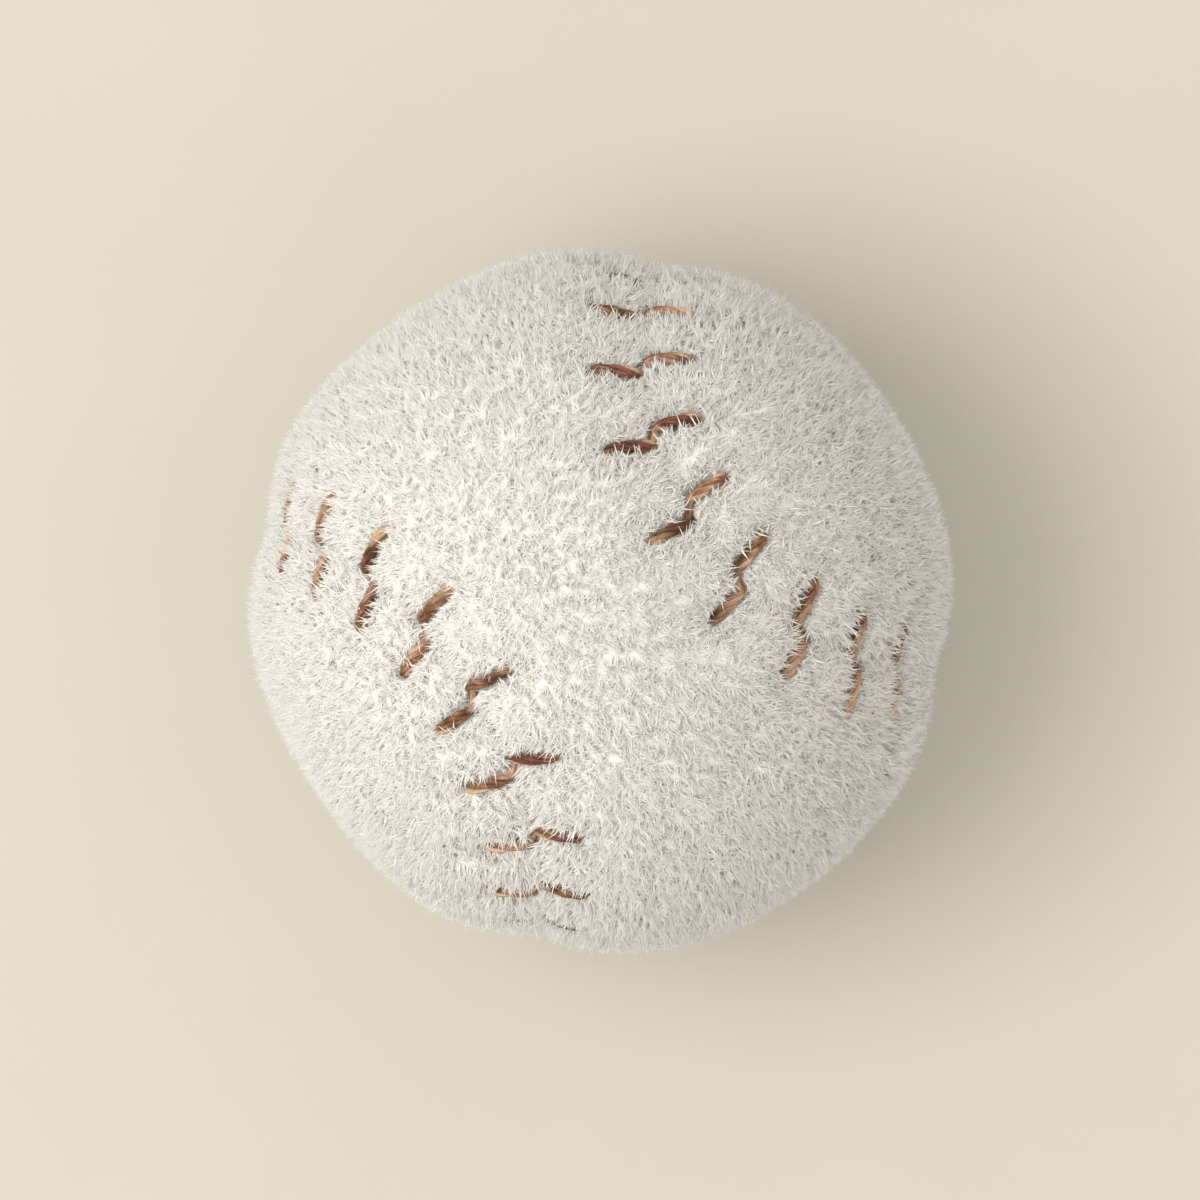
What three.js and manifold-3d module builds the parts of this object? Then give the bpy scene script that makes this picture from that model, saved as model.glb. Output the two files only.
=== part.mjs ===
// A plush play ball. Two figure-eight cover panels wrap round each other and are sewn edge to edge over a
// ball of fibre filling, and yarn stitches cross the seam all the way round.
// Millimetres, +Z up. The ball stands on a small flat foot at the origin.
import * as THREE from 'three';
import Module from 'manifold-3d';

// Ball and cover panels
const ballRadius = 41; // from the centre to the tips of the pile, on the crown of a panel
const footDepth = 0.5; // how far the ball is pressed flat where it stands
const waistWidth = 34.1; // straight across the narrow middle of a panel, from seam to seam
const plushThickness = 3; // backing cloth and pile together
const seamDepth = 2.2; // how far the seam draws the cover in
const seamReach = 5; // how far from the seam the cover is drawn in

// Lobes where the filling is loose and the cover sags, named by their place seen from above
const rightRearSag = 0.8;
const leftRearSag = 1.2;
const leftFrontSag = 1.8;
const sagReach = 14; // along the cover, from the middle of a lobe

// Edges turned in along the seam, and the thread that closes them
const allowanceDepth = 6; // below the bottom of the seam's valley
const allowanceThickness = 1.5; // backing cloth with its pile crushed
const threadDiameter = 0.5;
const threadClearance = 0.3; // from the thread to the cloth on either side
const threadDepth = 2.5; // below the bottom of the seam's valley

// Filling
const fillingClearance = 0.3; // from the filling to the cloth round it

// Yarn stitches: a leg on either panel, and a step along the seam between the two legs
const stitchCount = 42;
const stitchStart = 0.46; // place of the first stitch along the seam, in spacings
const stitchReach = 6.2; // from the seam to the tip of a leg
const stitchStep = 2.1; // along the seam, from one leg to the other
const stitchLean = 0.4; // along the seam, from the root of either leg to its tip
const stitchTaper = 1.2; // length of a leg's thinning tip
const stitchNeck = 1; // from the seam to the root of a leg
const yarnDiameter = 1.3;
const neckDiameter = 0.9; // where the yarn steps across the seam
const tipDiameter = 0.6; // where the yarn goes into the pile
const stitchClearance = 0.35; // from the yarn to the pile under it

// Mesh rows
const seamSteps = 88; // round the seam, a multiple of four
const rimRows = 3; // beside the seam
const rimWidth = 7; // width of the band that these rows cover
const crownColumns = 7; // across the rest of a panel, outside
const liningColumns = 5; // and inside, where the filling has the same
const seamSamples = 880; // points that distances to the seam are measured to
const threadSides = 5;
const yarnSides = 5;

// Sizes that follow from those above
const footHeight = ballRadius - footDepth; // from the foot to the centre
const seamGap = threadDiameter + 2 * threadClearance;
const edgeOffset = seamGap / 2;
const allowanceOffset = edgeOffset + allowanceThickness;
const grooveOffset = allowanceOffset + fillingClearance;
const grooveDepth = allowanceDepth + fillingClearance;
const liningDepth = plushThickness;
const fillingDepth = plushThickness + fillingClearance;

const plushMaterial = new THREE.MeshStandardMaterial({ color: 0xe6e0d7, roughness: 0.95, metalness: 0 });
const fillingMaterial = new THREE.MeshStandardMaterial({ color: 0xf4f3ef, roughness: 1, metalness: 0 });
const threadMaterial = new THREE.MeshStandardMaterial({ color: 0xded8cc, roughness: 0.7, metalness: 0 });
const yarnMaterial = new THREE.MeshStandardMaterial({ color: 0x956e55, roughness: 0.9, metalness: 0 });

const wasm = await Module();
wasm.setup();

// The seam: one closed curve on the sphere, whose two pairs of bends leave the waists of the panels.
class SeamCurve extends THREE.Curve {
  constructor() {
    super();
    this.wide = (ballRadius + waistWidth / 2) / 2;
    this.narrow = (ballRadius - waistWidth / 2) / 2;
    this.arcLengthDivisions = seamSamples;
  }

  getPoint(t, target = new THREE.Vector3()) {
    const angle = 2 * Math.PI * t;
    return target.set(
      this.wide * Math.cos(angle) + this.narrow * Math.cos(3 * angle),
      this.wide * Math.sin(angle) - this.narrow * Math.sin(3 * angle),
      2 * Math.sqrt(this.wide * this.narrow) * Math.sin(2 * angle),
    );
  }
}

const seam = new SeamCurve();
const seamDirections = seam.getPoints(seamSamples).map((point) => point.normalize());

// Places round the seam where the rows of the mesh meet it, from the end of one upper lobe.
const seamPlaces = Array.from({ length: seamSteps }, (_, step) => (step / seamSteps + 7 / 8) % 1);
const upperTip = 0; // steps at which each panel's lobe ends
const lowerTip = seamSteps / 4;

// Out of the ball, along the seam, and beside it towards the upper panel.
function seamFrame(t) {
  const out = seam.getPoint(t).normalize();
  const along = seam.getTangent(t);
  const side = new THREE.Vector3().crossVectors(out, along).normalize();
  return { out, along, side };
}

function seamDistance(direction) {
  const nearest = seamDirections.reduce((most, point) => Math.max(most, point.dot(direction)), -1);
  return ballRadius * Math.acos(Math.min(1, nearest));
}

function swell(distance, reach) {
  return Math.exp(-((distance / reach) ** 2));
}

const lobes = [
  { azimuth: Math.PI / 4, sag: rightRearSag },
  { azimuth: (3 * Math.PI) / 4, sag: leftRearSag },
  { azimuth: (5 * Math.PI) / 4, sag: leftFrontSag },
].map(({ azimuth, sag }) => ({
  middle: new THREE.Vector3(Math.cos(azimuth), Math.sin(azimuth), 0),
  sag,
}));

// Radius of the cover's outer surface in one direction.
function coverRadius(direction) {
  const drawnIn = seamDepth * swell(seamDistance(direction), seamReach);
  const sagged = lobes.reduce(
    (sum, lobe) => sum + lobe.sag * swell(ballRadius * direction.angleTo(lobe.middle), sagReach),
    0,
  );
  return ballRadius - drawnIn - sagged;
}

function onCover(direction, depth) {
  return direction.clone().multiplyScalar(coverRadius(direction) - depth);
}

// A direction that lies to the side of the seam by an offset at a radius.
function besideSeam(t, offset, radius) {
  const { out, side } = seamFrame(t);
  const turn = Math.asin(offset / radius);
  return out.multiplyScalar(Math.cos(turn)).addScaledVector(side, Math.sin(turn));
}

// A ring of points along the seam, at a depth below the cover's outer surface.
function coverRing(offset, depth) {
  return seamPlaces.map((t) => onCover(besideSeam(t, offset, ballRadius), depth));
}

// A ring of points along the seam, at a depth below the bottom of its valley.
function valleyRing(offset, depth) {
  return seamPlaces.map((t) => {
    const radius = coverRadius(seamFrame(t).out) - depth;
    return besideSeam(t, offset, radius).multiplyScalar(radius);
  });
}

function between(first, second, share) {
  const angle = first.angleTo(second);
  const start = first.clone().multiplyScalar(Math.sin((1 - share) * angle));
  return start.addScaledVector(second, Math.sin(share * angle)).normalize();
}

// A closed surface that is put together from loops of points.
class Skin {
  points = [];
  triangles = [];

  loop(points) {
    return points.map((point) => this.points.push(point) - 1);
  }

  quad(a, b, c, d) {
    this.triangles.push(a, b, c, a, c, d);
  }

  // The strip between two loops of as many points.
  join(first, second) {
    first.forEach((start, index) => {
      const next = (index + 1) % first.length;
      this.quad(start, first[next], second[next], second[index]);
    });
  }

  // Closes a short loop with one flat fan.
  fan(loop) {
    for (let index = 1; index < loop.length - 1; index += 1) {
      this.triangles.push(loop[0], loop[index], loop[index + 1]);
    }
  }

  // Closes a loop along the seam with rungs from one side of the panel to the other. The loop's tip is
  // the step at the end of a lobe, from which rungs join the points at equal steps on either side.
  crown(loop, tip, columns, depth) {
    const at = (step) => loop[(tip + step + loop.length) % loop.length];
    const half = loop.length / 2;
    const rungs = [];
    for (let step = 1; step < half; step += 1) {
      const left = this.points[at(step)].clone().normalize();
      const right = this.points[at(-step)].clone().normalize();
      const inner = Array.from({ length: columns - 1 }, (_, column) =>
        onCover(between(left, right, (column + 1) / columns), depth),
      );
      rungs.push([at(step), ...this.loop(inner), at(-step)]);
    }
    for (let column = 0; column < columns; column += 1) {
      this.triangles.push(at(0), rungs[0][column + 1], rungs[0][column]);
      for (let rung = 0; rung < rungs.length - 1; rung += 1) {
        const near = rungs[rung];
        const far = rungs[rung + 1];
        this.quad(far[column], near[column], near[column + 1], far[column + 1]);
      }
      const last = rungs[rungs.length - 1];
      this.triangles.push(at(half), last[column], last[column + 1]);
    }
  }

  turnOver(from = 0) {
    for (let index = from; index < this.triangles.length; index += 3) {
      const kept = this.triangles[index + 1];
      this.triangles[index + 1] = this.triangles[index + 2];
      this.triangles[index + 2] = kept;
    }
  }

  volume() {
    let sum = 0;
    for (let index = 0; index < this.triangles.length; index += 3) {
      const [a, b, c] = this.triangles.slice(index, index + 3).map((corner) => this.points[corner]);
      sum += a.dot(new THREE.Vector3().crossVectors(b, c)) / 6;
    }
    return sum;
  }

  geometry() {
    if (this.volume() < 0) {
      this.turnOver();
    }
    return meshGeometry(new Float32Array(this.points.flatMap((point) => point.toArray())), this.triangles);
  }
}

function meshGeometry(positions, triangles) {
  const geometry = new THREE.BufferGeometry();
  geometry.setAttribute('position', new THREE.BufferAttribute(positions, 3));
  geometry.setIndex(Array.from(triangles));
  geometry.computeVertexNormals();
  return geometry;
}

// Loops from one crown to another, joined into one closed surface.
function closedStack(rings, firstCrown, lastCrown) {
  const skin = new Skin();
  const loops = rings.map((ring) => skin.loop(ring));
  loops.slice(1).forEach((loop, index) => skin.join(loops[index], loop));
  skin.crown(loops[0], firstCrown.tip, firstCrown.columns, firstCrown.depth);
  const inside = skin.triangles.length;
  skin.crown(loops[loops.length - 1], lastCrown.tip, lastCrown.columns, lastCrown.depth);
  skin.turnOver(inside);
  return skin.geometry();
}

// One cover panel: its crowned outside, its edge turned in along the seam, and its lining side.
// The upper panel lies on the positive side of the seam, and the lower one on the other.
function panelGeometry(sign, tip) {
  const rim = Array.from({ length: rimRows + 1 }, (_, row) =>
    coverRing(sign * THREE.MathUtils.lerp(rimWidth, edgeOffset, row / rimRows), 0),
  );
  const turnedIn = [
    valleyRing(sign * edgeOffset, allowanceDepth),
    valleyRing(sign * allowanceOffset, allowanceDepth),
  ];
  const lining = [
    coverRing(sign * allowanceOffset, liningDepth),
    coverRing(sign * rimWidth, liningDepth),
  ];
  return closedStack(
    [...rim, ...turnedIn, ...lining],
    { tip, columns: crownColumns, depth: 0 },
    { tip, columns: liningColumns, depth: liningDepth },
  );
}

// The filling: a ball that follows the lining, with a groove round the turned-in edges.
function fillingGeometry() {
  const upper = [
    coverRing(rimWidth, fillingDepth),
    coverRing(grooveOffset, fillingDepth),
    valleyRing(grooveOffset, grooveDepth),
  ];
  const lower = [
    valleyRing(-grooveOffset, grooveDepth),
    coverRing(-grooveOffset, fillingDepth),
    coverRing(-rimWidth, fillingDepth),
  ];
  return closedStack(
    [...upper, ...lower],
    { tip: upperTip, columns: liningColumns, depth: fillingDepth },
    { tip: lowerTip, columns: liningColumns, depth: fillingDepth },
  );
}

function roundSection(centre, across, up, radius, sides) {
  return Array.from({ length: sides }, (_, side) => {
    const angle = (2 * Math.PI * side) / sides;
    const rim = centre.clone().addScaledVector(across, radius * Math.cos(angle));
    return rim.addScaledVector(up, radius * Math.sin(angle));
  });
}

// The closing thread: one endless loop between the two turned-in edges.
function threadGeometry() {
  const skin = new Skin();
  const loops = seamPlaces.map((t) => {
    const { out, side } = seamFrame(t);
    const centre = out.clone().multiplyScalar(coverRadius(out) - threadDepth);
    return skin.loop(roundSection(centre, side, out, threadDiameter / 2, threadSides));
  });
  loops.forEach((loop, index) => skin.join(loop, loops[(index + 1) % loops.length]));
  return skin.geometry();
}

// One leg of a stitch, from its tip to its root: offset from the seam, place along it, and yarn radius.
// The sign is that of the panel which the leg lies on.
function legStations(sign) {
  const root = (-sign * stitchStep) / 2;
  const tip = root + stitchLean;
  const shoulder = stitchReach - stitchTaper;
  const leanAt = (offset) => THREE.MathUtils.mapLinear(offset, stitchNeck, stitchReach, root, tip);
  const middle = (shoulder + stitchNeck) / 2;
  return [
    { offset: sign * stitchReach, along: tip, radius: tipDiameter / 2 },
    { offset: sign * shoulder, along: leanAt(shoulder), radius: yarnDiameter / 2 },
    { offset: sign * middle, along: leanAt(middle), radius: yarnDiameter / 2 },
    { offset: sign * stitchNeck, along: root, radius: yarnDiameter / 2 },
  ];
}

// One stitch: the upper panel's leg, the neck over the seam, and the lower panel's leg one step further on.
function stitchGeometry(t) {
  const { out, along, side } = seamFrame(t);
  const neck = { offset: 0, along: 0, radius: neckDiameter / 2 };
  const stations = [...legStations(1), neck, ...legStations(-1).reverse()];
  const centres = stations.map((station) => {
    const shift = along.clone().multiplyScalar(station.along).addScaledVector(side, station.offset);
    const direction = out.clone().addScaledVector(shift, 1 / ballRadius).normalize();
    return onCover(direction, -stitchClearance - station.radius);
  });
  const skin = new Skin();
  const loops = centres.map((centre, index) => {
    const before = centres[Math.max(0, index - 1)];
    const after = centres[Math.min(centres.length - 1, index + 1)];
    const forward = after.clone().sub(before).normalize();
    const across = new THREE.Vector3().crossVectors(forward, centre).normalize();
    const up = new THREE.Vector3().crossVectors(across, forward);
    return skin.loop(roundSection(centre, across, up, stations[index].radius, yarnSides));
  });
  loops.slice(1).forEach((loop, index) => skin.join(loops[index], loop));
  skin.fan([...loops[0]].reverse());
  skin.fan(loops[loops.length - 1]);
  return skin.geometry();
}

// Place of a stitch round the seam.
function stitchPlace(index) {
  return seam.getUtoTmapping(((index + stitchStart) / stitchCount) % 1);
}

function solidOf(geometry) {
  const vertProperties = geometry.getAttribute('position').array;
  const triVerts = new Uint32Array(geometry.index.array);
  return new wasm.Manifold(new wasm.Mesh({ numProp: 3, vertProperties, triVerts }));
}

// A box's twelve triangles with their eight corners shared.
function slabGeometry(width, height, top) {
  const half = width / 2;
  const skin = new Skin();
  const outline = [[-half, -half], [half, -half], [half, half], [-half, half]];
  const [low, high] = [top - height, top].map((z) =>
    skin.loop(outline.map(([x, y]) => new THREE.Vector3(x, y, z))),
  );
  skin.join(low, high);
  skin.fan([...low].reverse());
  skin.fan(high);
  return skin.geometry();
}

// The lower panel is pressed flat where the ball stands.
function withFoot(geometry) {
  const ground = slabGeometry(2 * ballRadius, ballRadius, -footHeight);
  const mesh = solidOf(geometry).subtract(solidOf(ground)).getMesh();
  return meshGeometry(mesh.vertProperties, mesh.triVerts);
}

const group = new THREE.Group();
const ball = new THREE.Group();
ball.position.z = footHeight;
group.add(ball);

function addPiece(name, geometry, material) {
  const mesh = new THREE.Mesh(geometry, material);
  mesh.name = name;
  ball.add(mesh);
}

addPiece('cover_panel_top', panelGeometry(1, upperTip), plushMaterial);
addPiece('cover_panel_bottom', withFoot(panelGeometry(-1, lowerTip)), plushMaterial);
addPiece('fibre_filling', fillingGeometry(), fillingMaterial);
addPiece('seam_thread', threadGeometry(), threadMaterial);
for (let index = 0; index < stitchCount; index += 1) {
  const name = `lace_stitch_${String(index + 1).padStart(2, '0')}`;
  addPiece(name, stitchGeometry(stitchPlace(index)), yarnMaterial);
}

export default group;
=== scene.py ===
import math

import bpy
import numpy as np
from mathutils import Matrix, Vector
from mathutils.geometry import delaunay_2d_cdt


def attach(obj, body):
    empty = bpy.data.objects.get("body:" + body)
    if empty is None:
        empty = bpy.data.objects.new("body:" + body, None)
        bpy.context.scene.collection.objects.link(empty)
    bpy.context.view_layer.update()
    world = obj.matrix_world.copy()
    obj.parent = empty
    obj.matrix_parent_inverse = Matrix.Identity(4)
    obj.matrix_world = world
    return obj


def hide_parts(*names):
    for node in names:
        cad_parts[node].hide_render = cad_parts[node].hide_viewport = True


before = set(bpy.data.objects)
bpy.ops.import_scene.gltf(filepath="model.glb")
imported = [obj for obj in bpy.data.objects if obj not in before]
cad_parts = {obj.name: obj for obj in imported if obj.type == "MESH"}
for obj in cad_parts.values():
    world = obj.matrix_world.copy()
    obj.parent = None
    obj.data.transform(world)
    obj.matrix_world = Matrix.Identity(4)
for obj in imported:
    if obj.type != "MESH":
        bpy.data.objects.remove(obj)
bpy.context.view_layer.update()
scene = bpy.context.scene
scene.view_settings.view_transform = "Standard"
print("frame:", len(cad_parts), "solids")

# Sizes of the sewn ball, in metres, as in the solids
ball = {
    "radius": 0.041,
    "height": 0.0405,  # middle of the ball over the floor
    "waist": 0.0341,  # narrowest width of a panel
    "seamDepth": 0.0011,  # the pile fills part of the valley that the solids have
    "seamReach": 0.005,
    "sagReach": 0.014,
    "sags": {45: 0.0008, 135: 0.0012, 225: 0.0018},  # degrees round the ball: depth
    "seamSamples": 4000,
    "seamEvery": 4,  # of those samples, for finding the nearest point of the seam
    "batch": 2000,  # directions that are worked out at a time, to save memory
}


# Node building

class Wire:
    def __init__(self, graph, socket):
        self.graph = graph
        self.socket = socket

    def other(self, name):
        return Wire(self.graph, self.socket.node.outputs[name])

    def __add__(self, value):
        return self.graph.maths("ADD", self, value)

    def __radd__(self, value):
        return self.graph.maths("ADD", value, self)

    def __sub__(self, value):
        return self.graph.maths("SUBTRACT", self, value)

    def __rsub__(self, value):
        return self.graph.maths("SUBTRACT", value, self)

    def __mul__(self, value):
        return self.graph.maths("MULTIPLY", self, value)

    def __rmul__(self, value):
        return self.graph.maths("MULTIPLY", value, self)

    def __truediv__(self, value):
        return self.graph.maths("DIVIDE", self, value)

    def __rtruediv__(self, value):
        return self.graph.maths("DIVIDE", value, self)


def isVector(value):
    return isinstance(value, Wire) and value.socket.type in ("VECTOR", "RGBA")


class Graph:
    def __init__(self, tree):
        self.tree = tree

    # settings go on the node before its sockets are filled or linked
    def add(self, kind, settings=None, sockets=None, output=0):
        node = self.tree.nodes.new(kind)
        for name, value in (settings or {}).items():
            setattr(node, name, value)
        for key, value in (sockets or {}).items():
            if isinstance(value, Wire):
                self.tree.links.new(value.socket, node.inputs[key])
            else:
                node.inputs[key].default_value = value
        return Wire(self, node.outputs[output]) if node.outputs else node

    def maths(self, operation, first, second=0.0):
        if not isVector(first) and not isVector(second):
            return self.add("ShaderNodeMath", {"operation": operation}, {0: first, 1: second})
        if operation == "MULTIPLY" and not isVector(second):
            return self.add("ShaderNodeVectorMath", {"operation": "SCALE"}, {0: first, "Scale": second})
        if operation == "MULTIPLY" and not isVector(first):
            return self.add("ShaderNodeVectorMath", {"operation": "SCALE"}, {0: second, "Scale": first})
        return self.add("ShaderNodeVectorMath", {"operation": operation}, {0: first, 1: second})

    def ramp(self, value, low, high, start=0.0, end=1.0):
        sockets = {"Value": value, "From Min": low, "From Max": high, "To Min": start, "To Max": end}
        return self.add("ShaderNodeMapRange", {"interpolation_type": "SMOOTHSTEP"}, sockets)

    def mix(self, share, first, second):
        return self.add("ShaderNodeMix", {"data_type": "RGBA"}, {0: share, 6: first, 7: second}, 2)

    def noise(self, place, scale, detail=2.0, roughness=0.5, output=0):
        sockets = {"Vector": place, "Scale": scale, "Detail": detail, "Roughness": roughness}
        return self.add("ShaderNodeTexNoise", None, sockets, output)

    def bump(self, height, strength, distance):
        sockets = {"Strength": strength, "Distance": distance, "Height": height}
        return self.add("ShaderNodeBump", None, sockets)


# sRGB bytes as the linear colour that a shader takes
def paint(red, green, blue):
    shares = [value / 255 for value in (red, green, blue)]
    return (*[s / 12.92 if s < 0.04 else ((s + 0.055) / 1.055) ** 2.4 for s in shares], 1)


def newMaterial(name):
    material = bpy.data.materials.new(name)
    material.use_nodes = True
    material.node_tree.nodes.clear()
    return material, Graph(material.node_tree)


# uniform values and links of one Principled shader
def finishMaterial(graph, sockets):
    shader = graph.add("ShaderNodeBsdfPrincipled", None, sockets)
    graph.add("ShaderNodeOutputMaterial", None, {"Surface": shader})


def objectPlace(graph):
    return graph.add("ShaderNodeTexCoord", None, None, "Object")


# a value that is stored on the mesh
def storedValue(graph, name):
    return graph.add("ShaderNodeAttribute", {"attribute_name": name}, None, "Fac")


# Materials

plushLook = {
    # the root colour is a little darker than the tip's: painted shade deep in the pile
    "root": paint(243, 239, 232),
    "tip": paint(249, 246, 240),
    "backing": paint(250, 247, 242),
    "backingShade": paint(240, 236, 229),
    "rootShare": 0.15,  # share of the tip's colour at the root
    "tipShare": 0.75,
    "tipStart": 0.85,  # along the strand
    "strandSpread": 0.45,  # how much the strands differ
    "strandShift": -0.12,
    "sheen": 0.6,
    "patchScale": 90,
    "knitScale": 1600,
    "knitDepth": 0.0004,
}


# the strands' map holds each strand's shade across and root to tip along
def pileMaterial(mapName):
    material, graph = newMaterial("plushPile")
    strandMap = graph.add("ShaderNodeUVMap", {"uv_map": mapName})
    shade = graph.add("ShaderNodeSeparateXYZ", None, {0: strandMap}, "X")
    along = shade.other("Y")
    # the strands darken towards the root: painted shade deep in the pile
    tone = graph.ramp(along, 0.0, plushLook["tipStart"], plushLook["rootShare"], plushLook["tipShare"])
    tone = tone + shade * plushLook["strandSpread"] + plushLook["strandShift"]
    colour = graph.mix(tone, plushLook["root"], plushLook["tip"])
    finishMaterial(graph, {
        "Base Color": colour,
        "Roughness": 0.95 - shade * 0.2,
        "Sheen Weight": plushLook["sheen"],
        "Sheen Roughness": 0.5,
        "Specular IOR Level": 0.2,
    })
    return material


def backingMaterial():
    material, graph = newMaterial("plushBacking")
    place = objectPlace(graph)
    patches = graph.noise(place, plushLook["patchScale"], 3)
    knit = graph.noise(place, plushLook["knitScale"], 2, 0.6)
    colour = graph.mix(patches * 0.5 + knit * 0.5, plushLook["backingShade"], plushLook["backing"])
    finishMaterial(graph, {
        "Base Color": colour,
        "Roughness": 0.85 + knit * 0.15,
        "Normal": graph.bump(knit, 0.5, plushLook["knitDepth"]),
        "Sheen Weight": 0.1,
        "Specular IOR Level": 0.2,
    })
    return material


yarnLook = {
    # shade is painted shade of the crevices between fibres and plies, and light a painted highlight; with
    # the fibres' own tone, streaks and patches spread both over the yarn
    "shade": paint(76, 48, 35),
    "body": paint(150, 108, 70),
    "redder": paint(148, 90, 78),
    "light": paint(212, 178, 148),
    "streaksAround": 26.0,
    "streaksPerMetre": 420.0,
    "plyShift": 9.0,  # so that the plies' streaks differ
    "patchScale": 260,
    "turnScale": 210,  # of the redder and browner stretches
    "redderFrom": (0.38, 0.62),
    "bodyFrom": (0.36, 0.6),
    "lightFrom": (0.48, 0.7),
    "fibreDepth": 0.0002,
    "sheen": 0.1,
}


# streaks that run along the fibres of a twisted ply
def fibreStreaks(graph, look, shift, detail, roughness):
    place = graph.add("ShaderNodeCombineXYZ", None, {
        "X": storedValue(graph, "around") * look["streaksAround"],
        "Y": storedValue(graph, "along") * look["streaksPerMetre"],
        "Z": shift,
    })
    return graph.noise(place, 1.0, detail, roughness)


def yarnMaterial():
    material, graph = newMaterial("lacingYarn")
    place = objectPlace(graph)
    ply = storedValue(graph, "ply")
    streak = fibreStreaks(graph, yarnLook, ply * yarnLook["plyShift"], 3, 0.6)
    patches = graph.noise(place, yarnLook["patchScale"], 2)
    turns = graph.noise(place, yarnLook["turnScale"], 1)
    body = graph.mix(graph.ramp(turns, *yarnLook["redderFrom"]), yarnLook["body"], yarnLook["redder"])
    # darker towards shade and paler towards light: painted shade and painted highlight, along with the
    # fibres' own tone
    full = graph.ramp(streak * 0.6 + patches * 0.4, *yarnLook["bodyFrom"])
    colour = graph.mix(full, yarnLook["shade"], body)
    pale = graph.ramp(streak * 0.5 + patches * 0.45 + ply * 0.2, *yarnLook["lightFrom"])
    colour = graph.mix(pale, colour, yarnLook["light"])
    finishMaterial(graph, {
        "Base Color": colour,
        "Roughness": 0.75 + streak * 0.25,
        "Normal": graph.bump(streak, 0.6, yarnLook["fibreDepth"]),
        "Sheen Weight": yarnLook["sheen"],
        "Sheen Roughness": 0.4,
        "Sheen Tint": yarnLook["light"],
        "Specular IOR Level": 0.2,
    })
    return material


threadLook = {
    "shade": paint(196, 186, 166),
    "light": paint(230, 224, 210),
    "streaksAround": 9.0,
    "streaksPerMetre": 1500.0,
    "patchScale": 150,
    "fibreDepth": 0.0001,
}


def threadMaterial():
    material, graph = newMaterial("seamThread")
    streak = fibreStreaks(graph, threadLook, 0.0, 2, 0.5)
    patches = graph.noise(objectPlace(graph), threadLook["patchScale"], 2)
    finishMaterial(graph, {
        "Base Color": graph.mix(streak * 0.6 + patches * 0.4, threadLook["shade"], threadLook["light"]),
        "Roughness": 0.55 + streak * 0.3,
        "Normal": graph.bump(streak, 0.4, threadLook["fibreDepth"]),
    })
    return material


fillingLook = {
    "shade": paint(226, 224, 217),
    "light": paint(252, 251, 248),
    "lumpScale": 120,
    "strandScale": (2600.0, 700.0, 1500.0),  # stretched, so that the noise reads as fibre
    "strandDepth": 0.0006,
}


def fillingMaterial():
    material, graph = newMaterial("fibreFilling")
    place = objectPlace(graph)
    lumps = graph.noise(place, fillingLook["lumpScale"], 3)
    sockets = {"Vector": place, "Scale": fillingLook["strandScale"]}
    fibres = graph.noise(graph.add("ShaderNodeMapping", None, sockets), 1.0, 4, 0.65)
    finishMaterial(graph, {
        "Base Color": graph.mix(lumps * 0.4 + fibres * 0.6, fillingLook["shade"], fillingLook["light"]),
        "Roughness": 0.8 + fibres * 0.2,
        "Normal": graph.bump(fibres, 0.7, fillingLook["strandDepth"]),
        "Sheen Weight": 0.2,
    })
    return material


# Shape of the ball: directions are unit vectors from its middle

middle = np.array([0.0, 0.0, ball["height"]])


def unit(vectors):
    return vectors / np.linalg.norm(vectors, axis=-1, keepdims=True)


wide = (ball["radius"] + ball["waist"] / 2) / 2
narrow = (ball["radius"] - ball["waist"] / 2) / 2
rise = 2 * math.sqrt(wide * narrow)


def seamPoint(angle):
    x = wide * np.cos(angle) + narrow * np.cos(3 * angle)
    y = wide * np.sin(angle) - narrow * np.sin(3 * angle)
    return np.stack([x, y, rise * np.sin(2 * angle)], -1)


def seamTangent(angle):
    x = -wide * np.sin(angle) - 3 * narrow * np.sin(3 * angle)
    y = wide * np.cos(angle) - 3 * narrow * np.cos(3 * angle)
    return unit(np.stack([x, y, 2 * rise * np.cos(2 * angle)], -1))


seamAngles = np.linspace(0, 2 * math.pi, ball["seamSamples"] + 1)
seamSteps = np.linalg.norm(np.diff(seamPoint(seamAngles), axis=0), axis=1)
seamRuns = np.concatenate([[0], np.cumsum(seamSteps)])
seamLength = seamRuns[-1]
seamDirections = unit(seamPoint(seamAngles[: -1 : ball["seamEvery"]]))


def seamAngleAt(run):
    return np.interp(np.mod(run, seamLength), seamRuns, seamAngles)


# a direction beside the seam (towards the upper panel) and along it
def besideSeam(angle, offset, along=0.0):
    out = unit(seamPoint(angle))
    tangent = seamTangent(angle)
    side = np.cross(out, tangent)
    moved = tangent * np.expand_dims(along, -1) + side * np.expand_dims(offset, -1)
    return unit(out + moved / ball["radius"])


# distance over the ball to the nearest of some other directions
def arcTo(directions, others, parts):
    split = np.array_split(directions, parts)
    nearest = np.concatenate([(part @ others.T).max(1) for part in split])
    return ball["radius"] * np.arccos(np.clip(nearest, -1, 1))


def seamDistance(directions):
    return arcTo(directions, seamDirections, max(1, len(directions) // ball["batch"]))


# radius of the pile's outer face
def coverRadius(directions, distance):
    radius = ball["radius"] - ball["seamDepth"] * np.exp(-((distance / ball["seamReach"]) ** 2))
    for degrees, sag in ball["sags"].items():
        lobe = np.array([math.cos(math.radians(degrees)), math.sin(math.radians(degrees)), 0.0])
        arc = ball["radius"] * np.arccos(np.clip(directions @ lobe, -1, 1))
        radius = radius - sag * np.exp(-((arc / ball["sagReach"]) ** 2))
    return radius


# Yarn stitches: where each crosses the seam, and the way of its yarn

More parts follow.
